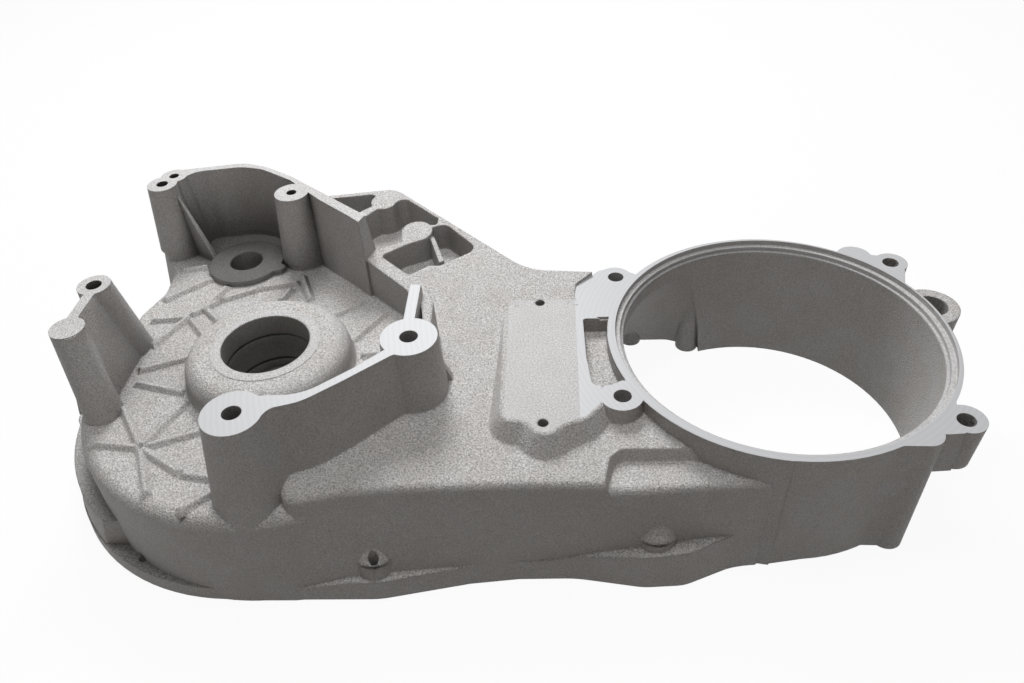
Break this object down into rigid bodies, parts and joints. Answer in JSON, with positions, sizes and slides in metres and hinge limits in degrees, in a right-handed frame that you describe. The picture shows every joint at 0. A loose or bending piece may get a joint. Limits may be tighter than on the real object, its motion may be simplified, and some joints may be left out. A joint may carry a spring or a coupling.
{
  "type": "inner primary cover",
  "caption": "Cast aluminium inner primary cover with a stepped engine ring at one end, a mainshaft bearing boss, a starter pocket and gearbox mounting bosses at the other.",
  "frame": {"origin": "centre of the engine register at the machined ring face", "axes": "-X from the engine shaft axis to the gearbox mainshaft axis, +Z out of the ring face towards the engine, the gasket face looks down at z = -94.8 mm"},
  "size_m": [0.6002, 0.3148, 0.129],
  "materials": {
    "cast_aluminium": "as cast, fine grain, with machined faces"
  },
  "bodies": {
    "root": {"inner_primary_cover": "cast_aluminium"}
  },
  "joints": []
}
